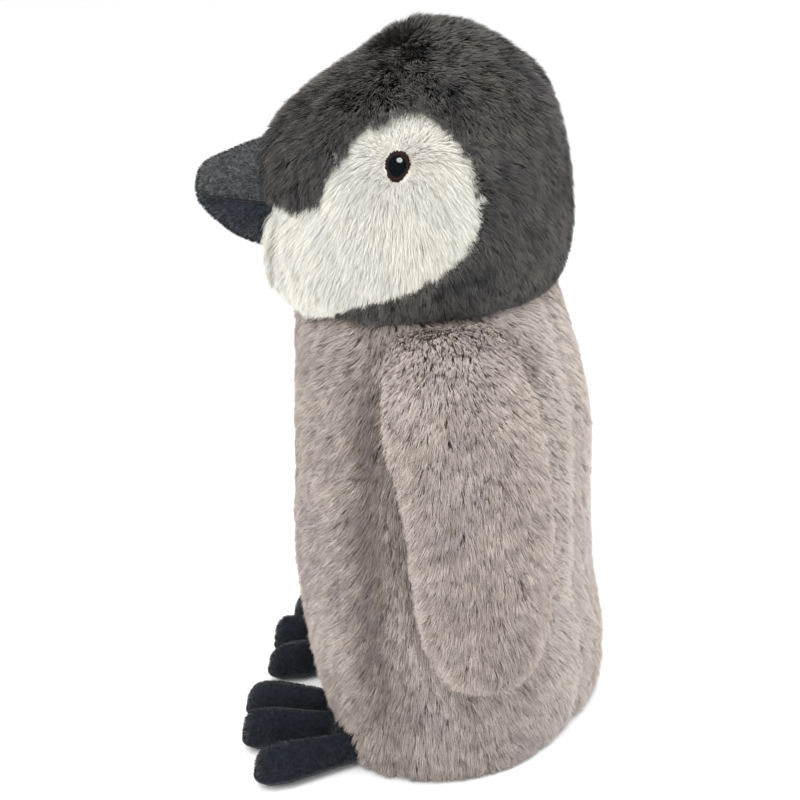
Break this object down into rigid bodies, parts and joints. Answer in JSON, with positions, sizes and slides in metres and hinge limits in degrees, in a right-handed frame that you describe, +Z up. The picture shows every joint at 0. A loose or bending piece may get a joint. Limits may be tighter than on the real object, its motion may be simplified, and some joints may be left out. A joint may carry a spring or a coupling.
{
  "type": "plush penguin",
  "caption": "Standing plush penguin chick in long pile fabric, with a hooded head, stuffed beak, flipper wings and toed feet.",
  "frame": {"origin": "middle of the flat base panel, at the height of the surface that the penguin stands on", "axes": "+Z up through the head, the penguin faces -Y, +X to the penguin's own left"},
  "size_m": [0.1734, 0.1514, 0.293],
  "materials": {
    "body_pile": "long soft pile, warm grey with lighter tips",
    "wing_pile": "long soft pile, warm grey with lighter tips",
    "hood_pile": "long soft pile, charcoal with brownish tips",
    "face_pile": "long soft pile, cream white",
    "beak_velour": "short matte velour",
    "foot_velour": "short matte velour",
    "eye_rim_thread": "satin embroidery thread, maroon brown",
    "eye_pupil_thread": "satin embroidery thread, near black",
    "eye_glint_thread": "satin embroidery thread, light grey",
    "stuffing": "polyester fibre filling",
    "lining": "plain woven lining"
  },
  "bodies": {
    "torso": {"body_front_panel": "body_pile", "body_side_panel_left": "body_pile", "body_side_panel_right": "body_pile", "body_back_panel": "body_pile", "base_panel": "body_pile", "pellet_bag": "lining", "torso_stuffing": "stuffing"},
    "neck": {"neck_lining": "lining"},
    "head": {"hood_gusset": "hood_pile", "hood_left": "hood_pile", "hood_right": "hood_pile", "face_patch_left": "face_pile", "face_patch_right": "face_pile", "head_stuffing": "stuffing", "beak_upper": "beak_velour", "beak_lower": "beak_velour", "beak_stuffing": "stuffing", "eye_rim_left": "eye_rim_thread", "eye_rim_right": "eye_rim_thread", "eye_pupil_left": "eye_pupil_thread", "eye_pupil_right": "eye_pupil_thread", "eye_glint_left": "eye_glint_thread", "eye_glint_right": "eye_glint_thread"},
    "shoulder_left": {"shoulder_seam_left": "lining"},
    "shoulder_right": {"shoulder_seam_right": "lining"},
    "wing_left": {"wing_outer_panel_left": "wing_pile", "wing_inner_panel_left": "wing_pile", "wing_stuffing_left": "stuffing"},
    "wing_right": {"wing_outer_panel_right": "wing_pile", "wing_inner_panel_right": "wing_pile", "wing_stuffing_right": "stuffing"},
    "foot_left": {"foot_upper_left": "foot_velour", "foot_sole_left": "foot_velour", "foot_stuffing_left": "stuffing"},
    "foot_right": {"foot_upper_right": "foot_velour", "foot_sole_right": "foot_velour", "foot_stuffing_right": "stuffing"}
  },
  "joints": [
    {"name": "head_turn", "type": "hinge", "parent": "torso", "child": "neck", "pos_m": [0, 0, 0.165], "axis": [0, 0, 1], "range_deg": [-25, 25], "stiffness_Nm_per_rad": 1},
    {"name": "head_nod", "type": "hinge", "parent": "neck", "child": "head", "pos_m": [0, 0, 0.165], "axis": [1, 0, 0], "range_deg": [-10, 10], "stiffness_Nm_per_rad": 1.5},
    {"name": "wing_swing_left", "type": "hinge", "parent": "torso", "child": "shoulder_left", "pos_m": [0.0595, 0.011, 0.1858], "axis": [1, 0, 0], "range_deg": [-10, 10], "stiffness_Nm_per_rad": 0.05},
    {"name": "wing_swing_right", "type": "hinge", "parent": "torso", "child": "shoulder_right", "pos_m": [-0.0595, 0.011, 0.1858], "axis": [1, 0, 0], "range_deg": [-10, 10], "stiffness_Nm_per_rad": 0.05},
    {"name": "wing_lift_left", "type": "hinge", "parent": "shoulder_left", "child": "wing_left", "pos_m": [0.0595, 0.011, 0.1858], "axis": [0, -1, 0], "range_deg": [0, 80]},
    {"name": "wing_lift_right", "type": "hinge", "parent": "shoulder_right", "child": "wing_right", "pos_m": [-0.0595, 0.011, 0.1858], "axis": [0, 1, 0], "range_deg": [0, 80]},
    {"name": "foot_flex_left", "type": "hinge", "parent": "torso", "child": "foot_left", "pos_m": [0.036, -0.047, 0.0088], "axis": [-0.9903, -0.1392, 0], "range_deg": [-10, 20], "stiffness_Nm_per_rad": 0.1},
    {"name": "foot_flex_right", "type": "hinge", "parent": "torso", "child": "foot_right", "pos_m": [-0.036, -0.047, 0.0088], "axis": [-0.9903, 0.1392, 0], "range_deg": [-10, 20], "stiffness_Nm_per_rad": 0.1}
  ]
}
